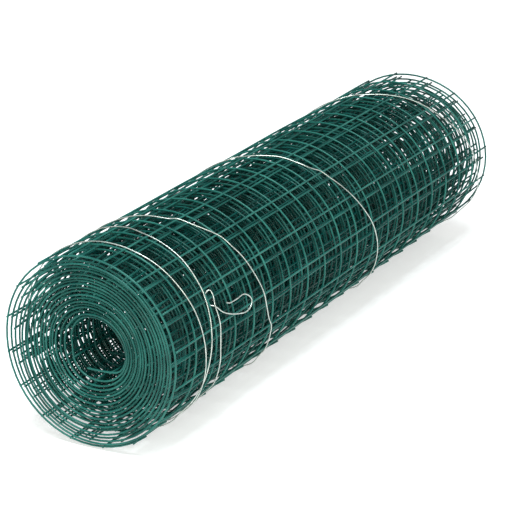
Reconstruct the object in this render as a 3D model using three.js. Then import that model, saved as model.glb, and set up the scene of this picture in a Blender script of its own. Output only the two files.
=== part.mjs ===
// A short roll of plastic coated welded wire mesh, lying on its side and bound with one thin tie wire.
// Millimetres. +X runs along the roll from the end with the tie wire's tail, and +Z is up.
// The roll is one turned solid with its bore. Its turns stand up as flat rings on both end faces.
import * as THREE from "three";

// Mesh: square welded mesh, measured from wire centre to wire centre
const mesh_size = 25.4;
const round_wire_count = 20;
const wire_diameter = 1.4;

// Roll: the turns of the mesh, wound round an open bore
const turn_count = 19;
const turn_pitch = 2.35;
const bore_diameter = 41;
const groove_depth = 1.2;
const facets = 32;

// Tie wire: bare wire wound once along the roll
const tie_diameter = 0.8;
const tie_clearance = 0.3;
const tie_sides = 8;
const tail_steps = 44;

const roll_length = (round_wire_count - 1) * mesh_size + wire_diameter;
const bore_radius = bore_diameter / 2;
const outer_radius = bore_radius + turn_count * turn_pitch;
const facet_angle = 360 / facets;
const tie_lift = tie_diameter + tie_clearance;
const tie_radius = outer_radius + tie_clearance + tie_diameter / 2;

// The tie wire's route over the roll. Each place is given as degrees round the roll from its top, growing
// down the front side (-Y), as mesh cells along it from the first edge wire, and as how far it is raised
// to pass over another strand, where 1 is one tie wire.
const tail_route = [
  [72.3, 2.81, 0],
  [73.5, 2.97, 0],
  [73.8, 3.33, 0],
  [73.5, 3.63, 0],
  [75, 3.82, 0],
  [78.5, 3.95, 0],
  [82, 3.86, 0],
  [83.4, 3.62, 0],
  [82.4, 3.33, 0],
  [80.2, 2.98, 0],
  [77.5, 2.65, 0],
  [74.5, 2.39, 0],
  [70.6, 2.17, 0],
  [66.5, 2.05, 0],
  [62.5, 2.08, 0],
  [60, 2.28, 0],
  [61.5, 2.4, 0.3],
  [65, 2.33, 0.8],
  [68, 2.27, 1],
  [73, 2.27, 1],
  [79, 2.31, 1],
  [86, 2.29, 0.4],
];
const strand_route = [
  [95.6, 2.23, 0],
  [113, 2.35, 0],
  [129, 2.6, 0],
  [337, 2.3, 0],
  [360, 2.15, 0],
  [371, 2.04, 0],
  [397, 2, 0],
  [420, 1.88, 0],
  [440, 1.71, 0],
  [460, 1.57, 0],
  [480, 1.5, 0],
  [540, 1.25, 0],
  [697, 0.9, 0],
  [735, 0.97, 0],
  [770, 1.14, 0],
  [800, 1.29, 0],
  [822, 1.38, 1],
  [845, 1.58, 1],
  [866, 1.8, 0],
  [930, 2.3, 0],
  [950, 2.42, 1],
  [974, 2.58, 1],
  [996, 2.72, 0],
  [1057, 3.02, 0],
  [1080, 3.22, 0],
  [1092, 3.42, 0],
  [1118, 3.93, 0],
  [1146, 4.29, 0],
  [1168, 4.54, 0],
  [1191, 5.04, 0],
  [1206, 5.38, 0],
  [1421, 8.79, 0],
  [1438, 9.05, 0],
  [1463, 9.5, 0],
  [1475, 9.83, 0],
  [1568, 11.87, 0],
  [1782, 15.71, 0],
  [1798, 16.05, 0],
  [1836, 17, 0],
  [1881, 18, 0],
  [1911, 18.68, 0],
  [1930, 18.86, 0],
  [1960, 18.88, 0],
];

// A curve that steps through its points, so that a sweep along it turns exactly at each of them
class StepCurve extends THREE.Curve {
  constructor(points) {
    super();
    this.points = points;
  }

  getPoint(t, target = new THREE.Vector3()) {
    const place = t * (this.points.length - 1);
    const before = Math.min(Math.floor(place), this.points.length - 2);
    return target.lerpVectors(this.points[before], this.points[before + 1], place - before);
  }

  getUtoTmapping(u) {
    return u;
  }
}

// One end face from the bore outwards, as radius and depth: a groove at the bore's edge, then for each
// turn its flat crest and the groove that parts it from the next turn
function endFace() {
  const points = [[bore_radius, groove_depth]];
  for (let turn = 0; turn < turn_count; turn += 1) {
    const inside = bore_radius + turn * turn_pitch;
    const middle = inside + turn_pitch / 2;
    points.push([middle - wire_diameter / 2, 0]);
    points.push([middle + wire_diameter / 2, 0]);
    points.push([inside + turn_pitch, groove_depth]);
  }
  return points;
}

// The turned roll: out along the near end face, along the outside, in along the far end face, back in the bore
function rollGeometry() {
  const near = endFace().map(([radius, depth]) => new THREE.Vector2(radius, depth - roll_length / 2));
  const far = endFace().map(([radius, depth]) => new THREE.Vector2(radius, roll_length / 2 - depth));
  const profile = [...near, ...far.reverse(), near[0].clone()];
  // The facets are turned by half of one, so that one of them lies level under the roll
  const geometry = new THREE.LatheGeometry(profile, facets, Math.PI / facets);
  geometry.rotateZ(-Math.PI / 2);
  return geometry;
}

// A place on the tie wire's route as a point: degrees round, cells along and raise
function tiePoint(degrees, cells, raise) {
  const angle = THREE.MathUtils.degToRad(degrees);
  const radius = tie_radius + raise * tie_lift;
  const along = cells * mesh_size - ((round_wire_count - 1) * mesh_size) / 2;
  return new THREE.Vector3(along, -radius * Math.sin(angle), radius * Math.cos(angle));
}

// The wound strands meet the roll's facets corner to corner, so they keep one clearance all the way
function strandPoints() {
  const points = [];
  const corner = (index) => (index + 0.5) * facet_angle;
  const first = Math.ceil(strand_route[0][0] / facet_angle - 0.5);
  const end = strand_route[strand_route.length - 1][0];
  let leg = 0;
  for (let index = first; corner(index) <= end; index += 1) {
    const degrees = corner(index);
    while (strand_route[leg + 1][0] < degrees) {
      leg += 1;
    }
    const [from, to] = [strand_route[leg], strand_route[leg + 1]];
    const share = (degrees - from[0]) / (to[0] - from[0]);
    const cells = THREE.MathUtils.lerp(from[1], to[1], share);
    const raise = THREE.MathUtils.lerp(from[2], to[2], share);
    points.push(tiePoint(degrees, cells, raise));
  }
  return points;
}

// The tie wire: its loose tail, a turn through the mesh, and the strands wound to the far end
function tieGeometry() {
  const strands = strandPoints();
  const tail = tail_route.map((place) => tiePoint(...place));
  const smooth_tail = new THREE.CatmullRomCurve3([...tail, strands[0]], false, "centripetal");
  const route = [...smooth_tail.getSpacedPoints(tail_steps), ...strands.slice(1)];
  const section = new THREE.Shape();
  for (let side = 0; side < tie_sides; side += 1) {
    const angle = (2 * Math.PI * side) / tie_sides;
    const corner = [(tie_diameter / 2) * Math.cos(angle), (tie_diameter / 2) * Math.sin(angle)];
    if (side === 0) {
      section.moveTo(...corner);
    } else {
      section.lineTo(...corner);
    }
  }
  section.closePath();
  return new THREE.ExtrudeGeometry(section, {
    steps: route.length - 1,
    extrudePath: new StepCurve(route),
    bevelEnabled: false,
  });
}

const coated_wire = new THREE.MeshStandardMaterial({ color: 0x1d5b4c, roughness: 0.4, metalness: 0 });
const bare_wire = new THREE.MeshStandardMaterial({ color: 0xc9cdc6, roughness: 0.3, metalness: 1 });

const mesh_roll = new THREE.Mesh(rollGeometry(), coated_wire);
mesh_roll.name = "mesh_roll";

const tie_wire = new THREE.Mesh(tieGeometry(), bare_wire);
tie_wire.name = "tie_wire";

const roll = new THREE.Group();
roll.add(mesh_roll, tie_wire);

// The roll lies on the tie wire's lowest strands, with its middle over the origin
const box = new THREE.Box3().setFromObject(roll);
roll.position.set(0, -(box.min.y + box.max.y) / 2, -box.min.z);
roll.updateMatrixWorld(true);

export default roll;
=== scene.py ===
"""A roll of green coated welded wire mesh, lying on its side and bound with one thin bright wire.

The sheet is built as the real one is: round wires that wind through every turn, and straight cross
wires laid on their outside. All lengths here are in millimetres until a mesh is made from them.
"""
import math

import bpy
import numpy as np
from mathutils import Matrix, Vector


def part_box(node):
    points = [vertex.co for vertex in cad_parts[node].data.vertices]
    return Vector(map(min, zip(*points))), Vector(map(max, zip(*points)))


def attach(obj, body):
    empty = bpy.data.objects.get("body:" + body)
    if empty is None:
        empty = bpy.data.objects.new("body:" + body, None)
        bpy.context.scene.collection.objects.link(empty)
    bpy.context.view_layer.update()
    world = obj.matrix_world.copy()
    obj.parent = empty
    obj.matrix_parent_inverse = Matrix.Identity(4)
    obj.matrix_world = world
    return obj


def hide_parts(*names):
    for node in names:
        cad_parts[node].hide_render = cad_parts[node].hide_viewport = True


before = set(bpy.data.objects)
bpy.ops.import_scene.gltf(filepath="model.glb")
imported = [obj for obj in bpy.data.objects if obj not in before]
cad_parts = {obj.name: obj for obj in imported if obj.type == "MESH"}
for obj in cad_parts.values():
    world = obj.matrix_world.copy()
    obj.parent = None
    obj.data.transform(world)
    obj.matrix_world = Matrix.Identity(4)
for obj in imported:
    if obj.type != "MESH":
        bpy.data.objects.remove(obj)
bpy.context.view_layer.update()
MM = 0.001

# Sizes of the roll and its wires
low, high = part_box("mesh_roll")
roll_length = (high.x - low.x) / MM
bow_room = 1.6                # the bows of the wires lift the roll this much more than the plain solid
axis_y = (low.y + high.y) / 2 / MM
axis_z = (low.z + high.z) / 2 / MM + bow_room
mesh_size = 25.4
wire_diameter = 1.4
round_wire_count = 20
tie_diameter = 0.8
sheet_width = (round_wire_count - 1) * mesh_size
near_x = -sheet_width / 2

# The way the sheet winds
# Radii of the turns from the roll's axis, read off the near end from the bore outwards, where each turn
# passes the right side (-Y), the top, the left side and the bottom. The last one only steers the curve.
right = [28.8, 29.8, 31.2, 33.1, 34.7, 36.4, 38.4, 40.0, 41.6, 44.0,
         46.3, 48.3, 50.7, 53.3, 55.4, 57.6, 60.0, 62.1, 65.6, 67.0]
top = [22.9, 24.6, 26.9, 29.3, 31.5, 33.4, 35.6, 37.9, 40.3, 42.6,
       45.1, 47.3, 49.3, 51.5, 54.2, 56.4, 58.2, 60.4, 63.8]
left = [11.6, 17.0, 21.0, 24.0, 26.4, 28.6, 31.0, 33.3, 35.6, 38.0,
        40.2, 42.6, 45.0, 47.0, 49.0, 51.3, 54.3, 57.5, 60.5]
bottom = [18.4, 22.8, 25.8, 29.0, 31.0, 33.0, 36.6, 39.4, 41.4, 43.7,
          46.5, 49.5, 52.0, 54.0, 56.5, 59.0, 61.3, 63.3, 65.4]
quarter_radii = [
    radius for turn in zip(right, top, left, bottom) for radius in turn
] + right[19:]
sheet_end = 75.45             # the outer end lies low on the front, in quarter turns from the bore
end_direction = 139.0         # about the same place in degrees from the top, growing down the front
top_quarter = 73.0            # where the outermost turn passes the top
outer_quarter = 73.2          # from here the depth of a place inside the roll is counted
inner_end = [(0.5, -12.5), (-8.0, -12.6), (-16.0, -12.2), (-22.5, -11.0), (-26.6, -7.0)]
inner_steps = 4
steps_per_quarter = 14

# Small bows in the section, each as height, radians for each quarter turn and radians at the start
section_bows = [(0.16, 2.9, 0.4), (0.12, 5.3, 1.7)]

# Each turn lies a little deeper in the near end than the turn outside it. In the photo a deeper turn seems
# moved to -Y and up by these shares of its depth, so what was read is moved back by as much.
slip_per_turn = 0.45
slip_bows = [(1.1, 0.83, 0.5), (0.6, 2.1, 0.0)]
sight_side = 0.543
sight_up = 0.418

# The far end is a little flatter and wider than the near one, and raised by so much
far_wider = 0.03
far_flatter = 0.05
far_raised = 2.0

# Bows of the sheet, each as height, length round the roll and length along it for one radian, and radians
# at the start. One more bow stands at the second round wire from either end.
sheet_bows = [(0.65, 31.0, 23.0, 0.0), (0.50, 17.0, -31.0, 2.0), (0.25, 9.0, 21.0, 4.0)]
end_bow = 0.6
end_bow_reach = 14.0
press = 1.3                   # the turns under the outermost one press outwards, away from the near end

# The round wires wander along the roll, the edge wires less than the others: height, length round the roll
# for one radian, and radians from one wire to the next
drift_bows = [(0.35, 47.0, 1.3), (0.2, 19.0, 2.1)]
edge_drift_share = 0.4

# The cross wires lie one cell apart along the sheet. The outermost turn has one at the lead's direction in
# degrees from the top. The sheet bows between the turns on its back and underside, which takes up almost
# half a cell a turn. Each cross wire is sunk a little into the round wires that it is welded to.
lead = 13.1
slack_per_turn = 11.5
slack_start = 0.42
slack_reach = 0.5
cross_lift = 0.62 * wire_diameter
cross_inset = 0.35
cross_points = 39
cross_bow = 0.08
cross_bow_length = 23.0

round_wire_sides = 7
cross_wire_sides = 6
tie_sides = 10


def quarter_at(degrees):
    """Where the outermost turn passes a direction, given in degrees from the top, growing down the front."""
    return top_quarter - degrees / 90.0


def turns_inside(quarter):
    """How many turns a place of the sheet lies inside the outermost one."""
    return (outer_quarter - quarter) / 4.0


def sum_of_bows(bows, quarter):
    """Bows given as height, waves and start, at a place counted in quarter turns."""
    return sum(height * np.sin(waves * quarter + start) for height, waves, start in bows)


def spiral_radius(quarter):
    """The sheet's radius at a place counted in quarter turns from the first one on the right side."""
    radii = np.array(quarter_radii)
    slopes = np.gradient(radii)
    quarter = np.clip(np.asarray(quarter, float), 0.0, len(radii) - 1.001)
    before = quarter.astype(int)
    t = quarter - before
    return (
        (2 * t**3 - 3 * t**2 + 1) * radii[before]
        + (t**3 - 2 * t**2 + t) * slopes[before]
        + (3 * t**2 - 2 * t**3) * radii[before + 1]
        + (t**3 - t**2) * slopes[before + 1]
    )


def outer_radius(degrees):
    """The outermost turn's radius in a direction given in degrees from the top, growing down the front."""
    seen = (np.asarray(degrees, float) - end_direction) % 360.0 + end_direction - 360.0
    return spiral_radius(quarter_at(seen))


def place(along, y, z):
    """A point of the near section (y, z from the axis), carried along the roll."""
    share = along / roll_length
    return np.stack(
        [
            np.broadcast_to(near_x + along, np.shape(y)),
            axis_y + y * (1 + far_wider * share),
            axis_z + z * (1 - far_flatter * share) + far_raised * share,
        ],
        axis=-1,
    )


def smooth_line(points, steps):
    """A Catmull-Rom line through points."""
    points = np.asarray(points, float)
    ends = np.vstack([2 * points[0] - points[1], points, 2 * points[-1] - points[-2]])
    line = []
    for i in range(len(points) - 1):
        p0, p1, p2, p3 = ends[i : i + 4]
        for t in np.linspace(0, 1, steps, endpoint=False):
            line.append(
                0.5
                * (
                    2 * p1
                    + (p2 - p0) * t
                    + (2 * p0 - 5 * p1 + 4 * p2 - p3) * t**2
                    + (3 * p1 - p0 - 3 * p2 + p3) * t**3
                )
            )
    line.append(points[-1])
    return np.array(line)


# The sheet's section as one line from its inner end to its outer end, as y and z from the axis
quarters = np.linspace(0.0, sheet_end, int(sheet_end * steps_per_quarter) + 1)
section_radii = spiral_radius(quarters) + sum_of_bows(section_bows, quarters)
section_angles = np.radians(90.0 - 90.0 * quarters)
wound = np.stack(
    [-section_radii * np.sin(section_angles), section_radii * np.cos(section_angles)], axis=1
)
inner_line = smooth_line(inner_end + [tuple(wound[0])], inner_steps)[:-1]
inner_quarters = np.linspace(-1.0, 0.0, len(inner_line), endpoint=False)
section = np.vstack([inner_line, wound])
section_quarters = np.concatenate([inner_quarters, quarters])
slip = slip_per_turn * (top_quarter - section_quarters) / 4.0 + sum_of_bows(slip_bows, section_quarters)
section[:, 0] += sight_side * slip
section[:, 1] -= sight_up * slip
lengths = np.concatenate([[0], np.cumsum(np.linalg.norm(np.diff(section, axis=0), axis=1))])

section_normals = np.gradient(section, axis=0)
section_normals = np.stack([section_normals[:, 1], -section_normals[:, 0]], axis=1)
section_normals /= np.linalg.norm(section_normals, axis=1)[:, None]

# How much of the bows a place takes: little in the outermost turn, which the tie wire holds
bow_share = np.clip((72.0 - section_quarters) / 6.0, 0.15, 1.0)
press_share = np.interp(section_quarters, [45.0, 55.0, 68.0, 71.0], [0.0, 1.0, 1.0, 0.0])


def painted_light_at(line, quarter):
    """How much painted light a place gets against painted shade: all on the outermost turn, most at the ends
    of the roll, none deep inside.
    """
    # Painted shade deepens turn by turn inside the roll, and the ends of the roll get painted light
    light_by_depth = np.interp(turns_inside(quarter), [0.6, 1.3, 2.0, 3.5], [1.0, 0.62, 0.25, 0.0])
    from_end = np.minimum(line[:, 0] - near_x, -near_x - line[:, 0])
    return np.maximum(light_by_depth, np.interp(from_end, [12.0, 24.0], [0.8, 0.0]))


def sweep(name, lines, radius, sides, across, painted_light):
    """One mesh of round wires, each swept along its line. across gives each point's first side direction."""
    angles = 2 * math.pi * np.arange(sides) / sides
    verts, faces, base = [], [], 0
    for line, first in zip(lines, across):
        tangent = np.gradient(line, axis=0)
        tangent /= np.linalg.norm(tangent, axis=1)[:, None]
        first = first - tangent * np.einsum("ij,ij->i", first, tangent)[:, None]
        first /= np.linalg.norm(first, axis=1)[:, None]
        second = np.cross(tangent, first)
        ring = (
            line[:, None, :]
            + radius * np.cos(angles)[None, :, None] * first[:, None, :]
            + radius * np.sin(angles)[None, :, None] * second[:, None, :]
        )
        count = len(line)
        verts.append(ring.reshape(-1, 3))
        i, j = np.meshgrid(np.arange(count - 1), np.arange(sides), indexing="ij")
        a = base + i * sides + j
        b = base + i * sides + (j + 1) % sides
        quads = np.stack([a, b, b + sides, a + sides], axis=-1).reshape(-1, 4)
        faces.extend(quads.tolist())
        faces.append([base + k for k in range(sides - 1, -1, -1)])
        faces.append([base + (count - 1) * sides + k for k in range(sides)])
        base += count * sides
    mesh = bpy.data.meshes.new(name)
    mesh.from_pydata((np.vstack(verts) * MM).tolist(), [], faces)
    mesh.polygons.foreach_set("use_smooth", [len(p.vertices) == 4 for p in mesh.polygons])
    # Each point keeps its share of painted light, which the green coat turns into painted light or painted
    # shade
    mesh.attributes.new("painted_light", "FLOAT", "POINT")
    mesh.attributes["painted_light"].data.foreach_set("value", np.repeat(np.concatenate(painted_light), sides))
    mesh.update()
    thing = bpy.data.objects.new(name, mesh)
    bpy.context.scene.collection.objects.link(thing)
    return thing


def bulge(distance, along):
    """How far the sheet bows out at a place: none at the near end, less in the outermost turn."""
    waves = press * np.interp(distance, lengths, press_share)
    for height, round_length, along_length, start in sheet_bows:
        waves = waves + height * np.sin(distance / round_length + along / along_length + start)
    for edge in (mesh_size, sheet_width - mesh_size):
        waves = waves + end_bow * np.exp(-(((along - edge) / end_bow_reach) ** 2))
    return waves * np.clip(along / mesh_size, 0.0, 1.0) * np.interp(distance, lengths, bow_share)


def round_wire(number):
    """The centre line of one wire that winds through every turn."""
    along = number * mesh_size
    bowed = section + section_normals * bulge(lengths, along)[:, None]
    drift = sum(height * np.sin(lengths / reach + number * start) for height, reach, start in drift_bows)
    if number in (0, round_wire_count - 1):
        drift = edge_drift_share * drift
    line = place(along, bowed[:, 0], bowed[:, 1])
    line[:, 0] += slip + drift
    return line


def cross_wire_places():
    """Where the cross wires lie, as lengths along the sheet from its inner end."""
    turns_in = turns_inside(section_quarters)
    whole_turns = np.floor(turns_in)
    bowed = np.clip((turns_in - whole_turns - slack_start) / slack_reach, 0.0, 1.0)
    lead_length = np.interp(quarter_at(lead), section_quarters, lengths)
    from_lead = lead_length - lengths + slack_per_turn * (whole_turns + bowed)
    first_cell = math.ceil(from_lead[-1] / mesh_size)
    last_cell = math.floor(from_lead[0] / mesh_size)
    cells = np.arange(first_cell, last_cell + 1) * mesh_size
    return np.interp(cells, from_lead[::-1], lengths[::-1])


def section_point(distance):
    """The section's point at a length along the sheet."""
    return np.array([np.interp(distance, lengths, section[:, k]) for k in (0, 1)])


def cross_wire(distance):
    """One straight wire along the roll, on the outside of the round wires: centre line and outward side."""
    middle_point = section_point(distance)
    ahead = section_point(distance + 2) - section_point(distance - 2)
    ahead /= np.linalg.norm(ahead)
    outward = np.array([-ahead[1], ahead[0]])
    if outward @ middle_point < 0:
        outward = -outward
    along = np.linspace(cross_inset, sheet_width - cross_inset, cross_points)
    own_bow = cross_bow * np.sin(along / cross_bow_length + 2 * distance)
    lift = cross_lift + bulge(distance, along) + own_bow
    line = place(along, middle_point[0] + outward[0] * lift, middle_point[1] + outward[1] * lift)
    line[:, 0] += np.interp(distance, lengths, slip)
    return line, outward


round_lines = [round_wire(number) for number in range(round_wire_count)]


def round_wires(name, numbers):
    """Some of the round wires as one piece."""
    lines = [round_lines[number] for number in numbers]
    along_x = [np.tile([1.0, 0.0, 0.0], (len(line), 1)) for line in lines]
    # Painted light and painted shade for each point of these wires
    painted_light = [painted_light_at(line, section_quarters) for line in lines]
    return sweep(name, lines, wire_diameter / 2, round_wire_sides, along_x, painted_light)


def cross_wires():
    """All cross wires as one piece."""
    lines, sides, painted_light = [], [], []
    for distance in cross_wire_places():
        line, outward = cross_wire(distance)
        lines.append(line)
        sides.append(np.tile([0.0, outward[0], outward[1]], (len(line), 1)))
        # Painted light and painted shade for each point of this wire
        painted_light.append(painted_light_at(line, np.interp(distance, lengths, section_quarters)))
    return sweep("cross_wires", lines, wire_diameter / 2, cross_wire_sides, sides, painted_light)


pieces = [
    round_wires("edge_wires", [0, round_wire_count - 1]),
    round_wires("round_wires_near", range(1, 7)),
    round_wires("round_wires_middle", range(7, 13)),
    round_wires("round_wires_far", range(13, round_wire_count - 1)),
    cross_wires(),
]

# The tie wire
# Its route over the outer turn: degrees from the top, growing down the front (-Y), mesh cells from the near
# edge wire, and how far it is lifted over another strand, or pushed under the mesh where it is negative.
# Between the tail and the hook it runs under the third round wire, at the degrees in under_wire.
tail_route = [
    (71.3, 2.62, 0.9), (72.5, 2.78, 0.8), (72.8, 3.14, 0.6), (72.5, 3.44, 0.7), (74.0, 3.63, 0.9),
    (77.5, 3.76, 1.2), (81.0, 3.67, 1.2), (82.4, 3.43, 0.8), (81.4, 3.15, 0.5), (79.3, 2.82, 0.3),
    (76.6, 2.52, 0.0), (73.8, 2.32, 0.0), (70.0, 2.15, 0.0), (68.7, 2.09, -2.0),
]
under_wire = [67.6, 66.0, 64.0, 62.4, 61.2]
hook_route = [
    (60.3, 2.1, -1.4), (60.1, 2.14, -0.2), (60.8, 2.18, 0.4), (63.4, 2.18, 0.8), (66.1, 2.13, 1.0),
    (69.1, 2.09, 1.0), (73.1, 2.09, 1.0), (77.1, 2.12, 0.6), (82.1, 2.14, 0.0), (89.1, 2.1, 0.0),
]
strand_route = [
    (95.1, 2.11, 0), (102.0, 2.18, 0), (112.0, 2.28, 0), (122.0, 2.46, -0.5), (129.0, 2.6, -1.5),
    (230.0, 2.48, -1.5), (300.0, 2.36, 0), (337.0, 2.3, 0), (343.0, 2.24, 0), (360.0, 2.15, 0),
    (370.0, 2.04, 0), (397.0, 2.0, 0), (420.0, 1.88, 0), (440.0, 1.71, 0), (460.0, 1.57, 0),
    (480.0, 1.5, 0), (540.0, 1.25, 0), (697.0, 0.9, 0), (720.0, 0.95, 0), (740.0, 1.0, 0),
    (755.0, 1.08, 0), (770.0, 1.14, 0), (785.0, 1.23, 0), (800.0, 1.29, 0), (815.0, 1.35, 0.4),
    (830.0, 1.43, 1), (845.0, 1.58, 1), (856.0, 1.72, 0.5), (870.0, 1.85, 0), (930.0, 2.3, 0),
    (950.0, 2.42, 1), (974.0, 2.58, 1), (996.0, 2.72, 0), (1057.0, 3.0, 0), (1063.0, 3.08, 0),
    (1070.0, 3.15, 0), (1080.0, 3.22, 0), (1090.0, 3.32, 0), (1094.0, 3.51, 0), (1102.0, 3.58, 0),
    (1110.0, 3.75, 0), (1118.0, 3.96, 0), (1126.0, 4.04, 0), (1135.0, 4.17, 0), (1146.0, 4.29, 0),
    (1158.0, 4.46, 0), (1168.0, 4.54, 0), (1176.0, 4.68, 0), (1183.0, 4.92, 0), (1191.0, 5.04, 0),
    (1199.0, 5.2, 0), (1206.0, 5.38, 0), (1310.0, 7.0, 0), (1421.0, 8.79, 0), (1426.0, 8.92, 0),
    (1437.5, 9.04, 0), (1445.0, 9.21, 0), (1452.5, 9.375, 0), (1463.8, 9.5, 0), (1470.0, 9.62, 0),
    (1475.0, 9.83, 0), (1481.0, 9.92, 0), (1490.0, 10.12, 0), (1498.8, 10.33, 0), (1507.5, 10.54, 0),
    (1518.8, 10.83, 0), (1528.8, 11.04, 0), (1540.0, 11.25, 0), (1551.3, 11.46, 0), (1561.0, 11.67, 0),
    (1568.8, 11.87, 0), (1675.0, 13.8, 0), (1782.5, 15.71, 0), (1788.8, 15.92, 0), (1797.5, 16.04, 0),
    (1806.3, 16.29, 0), (1815.0, 16.54, 0), (1825.0, 16.79, 0), (1836.3, 17.0, 0), (1847.5, 17.21, 0),
    (1858.8, 17.5, 0), (1868.8, 17.75, 0), (1881.3, 18.0, 0), (1891.3, 18.17, 0), (1901.3, 18.42, 0),
    (1910.0, 18.67, 0), (1925.0, 18.84, 0), (1945.0, 18.88, 0), (1962.0, 18.88, 0),
]
tie_lift = cross_lift + wire_diameter / 2 + tie_diameter / 2

# Where it runs under the hooked wire, it lies this far from that wire's centre, inwards and along the roll
hooked_wire = 2
hook_direction = np.array([0.825, 0.448, -0.345])
hook_depth = 2.4

strand_spacing = 7.5
tie_steps = 5


def on_roll(degrees, cells, raised):
    """A point on the tie wire's route as it lies on the outermost cross wires."""
    radius = outer_radius(degrees) + tie_lift + raised * tie_diameter
    angle = np.radians(degrees)
    return place(cells * mesh_size, -radius * np.sin(angle), radius * np.cos(angle))


def under_round_wire(degrees):
    """A point under the hooked round wire of the outermost turn, a little further along the roll."""
    at = np.interp(quarter_at(degrees), section_quarters, np.arange(len(section_quarters)))
    line = round_lines[hooked_wire]
    wire = np.array([np.interp(at, np.arange(len(line)), line[:, k]) for k in range(3)])
    return wire + hook_depth * hook_direction


def strand_points():
    """Points of the wound strands, less than twice the spacing in degrees apart."""
    route = np.array(strand_route, float)
    degrees = [route[0, 0]]
    for start, end in zip(route[:-1, 0], route[1:, 0]):
        steps = max(1, int((end - start) / strand_spacing))
        degrees.extend(np.linspace(start, end, steps + 1)[1:])
    cells = np.interp(degrees, route[:, 0], route[:, 1])
    raised = np.interp(degrees, route[:, 0], route[:, 2])
    return [on_roll(*point) for point in zip(degrees, cells, raised)]


def tie_wire():
    """The whole tie wire as one piece."""
    tail = [on_roll(*point) for point in tail_route]
    under = [under_round_wire(degrees) for degrees in under_wire]
    hook = [on_roll(*point) for point in hook_route]
    line = smooth_line(tail + under + hook + strand_points(), tie_steps)
    outward = line - np.array([0.0, axis_y, axis_z])
    outward[:, 0] = 0
    return sweep("tie_wire_bound", [line], tie_diameter / 2, tie_sides, [outward], [np.ones(len(line))])


tie = tie_wire()


def new_material(name):
    """A material with its node tree and its main shader."""
    material = bpy.data.materials.new(name)
    material.use_nodes = True
    tree = material.node_tree
    return material, tree, tree.nodes["Principled BSDF"]


def noise(tree, scale, detail):
    """Noise that is fixed to the object."""
    object_place = tree.nodes.new("ShaderNodeTexCoord")
    node = tree.nodes.new("ShaderNodeTexNoise")
    node.inputs["Scale"].default_value = scale
    node.inputs["Detail"].default_value = detail
    tree.links.new(object_place.outputs["Object"], node.inputs["Vector"])
    return node.outputs["Fac"]


def ramp(tree, value, *stops):
    """A blend between two colours, each given with the value at which it is reached."""
    node = tree.nodes.new("ShaderNodeValToRGB")
    for element, (position, colour) in zip(node.color_ramp.elements, stops):
        element.position = position
        element.color = (*colour, 1)
    tree.links.new(value, node.inputs["Fac"])
    return node.outputs["Color"]


def set_roughness(tree, shader, value, least, most):
    """Roughness that follows a value."""
    node = tree.nodes.new("ShaderNodeMapRange")
    node.inputs["To Min"].default_value = least
    node.inputs["To Max"].default_value = most
    tree.links.new(value, node.inputs["Value"])
    tree.links.new(node.outputs["Result"], shader.inputs["Roughness"])


def set_bump(tree, shader, value, strength, distance):
    """A fine relief that follows a value."""
    node = tree.nodes.new("ShaderNodeBump")
    node.inputs["Strength"].default_value = strength
    node.inputs["Distance"].default_value = distance
    tree.links.new(value, node.inputs["Height"])
    tree.links.new(node.outputs["Normal"], shader.inputs["Normal"])


def coated_wire():
    """Green plastic coat: satin gloss, a little uneven, with painted light on the outer turns and the ends
    and painted shade on the inner turns.
    """
    material, tree, shader = new_material("coated_wire_green")
    patches = noise(tree, 45, 3)
    grain = noise(tree, 900, 2)
    # Painted shade and painted light: a dark green for the shaded inner turns, a paler green for the lit
    # outer turns and ends
    painted_shade_green = ramp(tree, patches, (0.3, (0.0001, 0.021, 0.017)), (0.75, (0.0003, 0.056, 0.049)))
    painted_lit_green = ramp(tree, patches, (0.3, (0.004, 0.064, 0.054)), (0.75, (0.024, 0.140, 0.115)))
    painted_light = tree.nodes.new("ShaderNodeAttribute")
    painted_light.attribute_name = "painted_light"
    mix = tree.nodes.new("ShaderNodeMix")
    mix.data_type = "RGBA"
    # A colour mix has its share in input 0 and its colours in inputs 6 and 7
    tree.links.new(painted_light.outputs["Fac"], mix.inputs[0])
    tree.links.new(painted_shade_green, mix.inputs[6])
    tree.links.new(painted_lit_green, mix.inputs[7])
    tree.links.new(mix.outputs[2], shader.inputs["Base Color"])
    set_roughness(tree, shader, grain, 0.26, 0.44)
    set_bump(tree, shader, grain, 0.12, 0.0002)
    shader.inputs["Specular IOR Level"].default_value = 0.2
    return material


def bare_wire():
    """Bright galvanised wire: shiny, with a faint cloudy spangle."""
    material, tree, shader = new_material("bare_wire_bright")
    spangle = noise(tree, 260, 4)
    colour = ramp(tree, spangle, (0.3, (0.38, 0.42, 0.39)), (0.7, (0.62, 0.66, 0.61)))
    tree.links.new(colour, shader.inputs["Base Color"])
    set_roughness(tree, shader, spangle, 0.28, 0.48)
    set_bump(tree, shader, spangle, 0.1, 0.0001)
    shader.inputs["Metallic"].default_value = 0.75
    return material


green = coated_wire()
bright = bare_wire()
for piece in pieces:
    piece.data.materials.append(green)
    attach(piece, "root")
    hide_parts("mesh_roll")
tie.data.materials.append(bright)
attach(tie, "root")
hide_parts("tie_wire")


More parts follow.
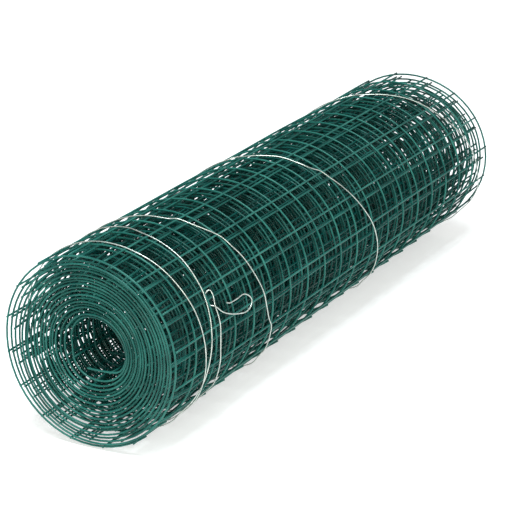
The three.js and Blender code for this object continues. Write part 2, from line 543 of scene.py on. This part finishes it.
def floor():
    """A wide pale floor that shines a little itself, so that its shadows stay faint."""
    material, tree, shader = new_material("pale_floor")
    shader.inputs["Base Color"].default_value = (0.68, 0.68, 0.68, 1)
    shader.inputs["Roughness"].default_value = 0.9
    shader.inputs["Emission Color"].default_value = (1, 1, 1, 1)
    shader.inputs["Emission Strength"].default_value = 0.55
    grain = tree.nodes.new("ShaderNodeTexNoise")
    grain.inputs["Scale"].default_value = 30
    relief = tree.nodes.new("ShaderNodeBump")
    relief.inputs["Strength"].default_value = 0.02
    tree.links.new(grain.outputs["Fac"], relief.inputs["Height"])
    tree.links.new(relief.outputs["Normal"], shader.inputs["Normal"])
    mesh = bpy.data.meshes.new("floor")
    half = 12.0
    corners = [(-half, -half, 0), (half, -half, 0), (half, half, 0), (-half, half, 0)]
    mesh.from_pydata(corners, [], [(0, 1, 2, 3)])
    mesh.materials.append(material)
    thing = bpy.data.objects.new("floor", mesh)
    bpy.context.scene.collection.objects.link(thing)


def soft_light(name, where, size, power, colour):
    """A round area light that is aimed at the middle of the roll. Places are in metres."""
    aim = Vector((0.0, 0.0, axis_z * MM))
    light = bpy.data.lights.new(name, "AREA")
    light.shape = "DISK"
    light.size = size
    light.energy = power
    light.color = colour
    thing = bpy.data.objects.new(name, light)
    thing.location = where
    thing.rotation_euler = (aim - Vector(where)).to_track_quat("-Z", "Y").to_euler()
    bpy.context.scene.collection.objects.link(thing)


def surroundings():
    """A plain white world of even light."""
    world = bpy.data.worlds.new("studio")
    world.use_nodes = True
    background = world.node_tree.nodes["Background"]
    background.inputs["Color"].default_value = (1, 1, 1, 1)
    background.inputs["Strength"].default_value = 0.35
    bpy.context.scene.world = world
    bpy.context.scene.view_settings.view_transform = "Standard"


def photo_camera():
    """The photo's camera: found from the mesh's crossings, as an offset from the near end's axis."""
    offset = Vector((-1142.3, -742.5, 563.3))
    look = Vector((0.8248, 0.4482, -0.3446)).normalized()
    side = look.cross(Vector((0, 0, 1))).normalized()
    up = side.cross(look)
    data = bpy.data.cameras.new("photo_camera")
    data.lens = 163.3
    data.sensor_width = 36
    data.clip_end = 50
    camera = bpy.data.objects.new("photo_camera", data)
    turn = Matrix((side, up, -look)).transposed().to_4x4()
    where = (Vector((near_x, axis_y, axis_z)) + offset) * MM
    camera.matrix_world = Matrix.Translation(where) @ turn
    bpy.context.scene.collection.objects.link(camera)
    bpy.context.scene.camera = camera


floor()
soft_light("key_light", (-0.7, -0.3, 1.9), 1.1, 58, (0.88, 0.97, 1.0))
soft_light("front_light", (-2.0, -1.2, 0.9), 1.0, 33, (0.97, 1.0, 0.88))
surroundings()
photo_camera()
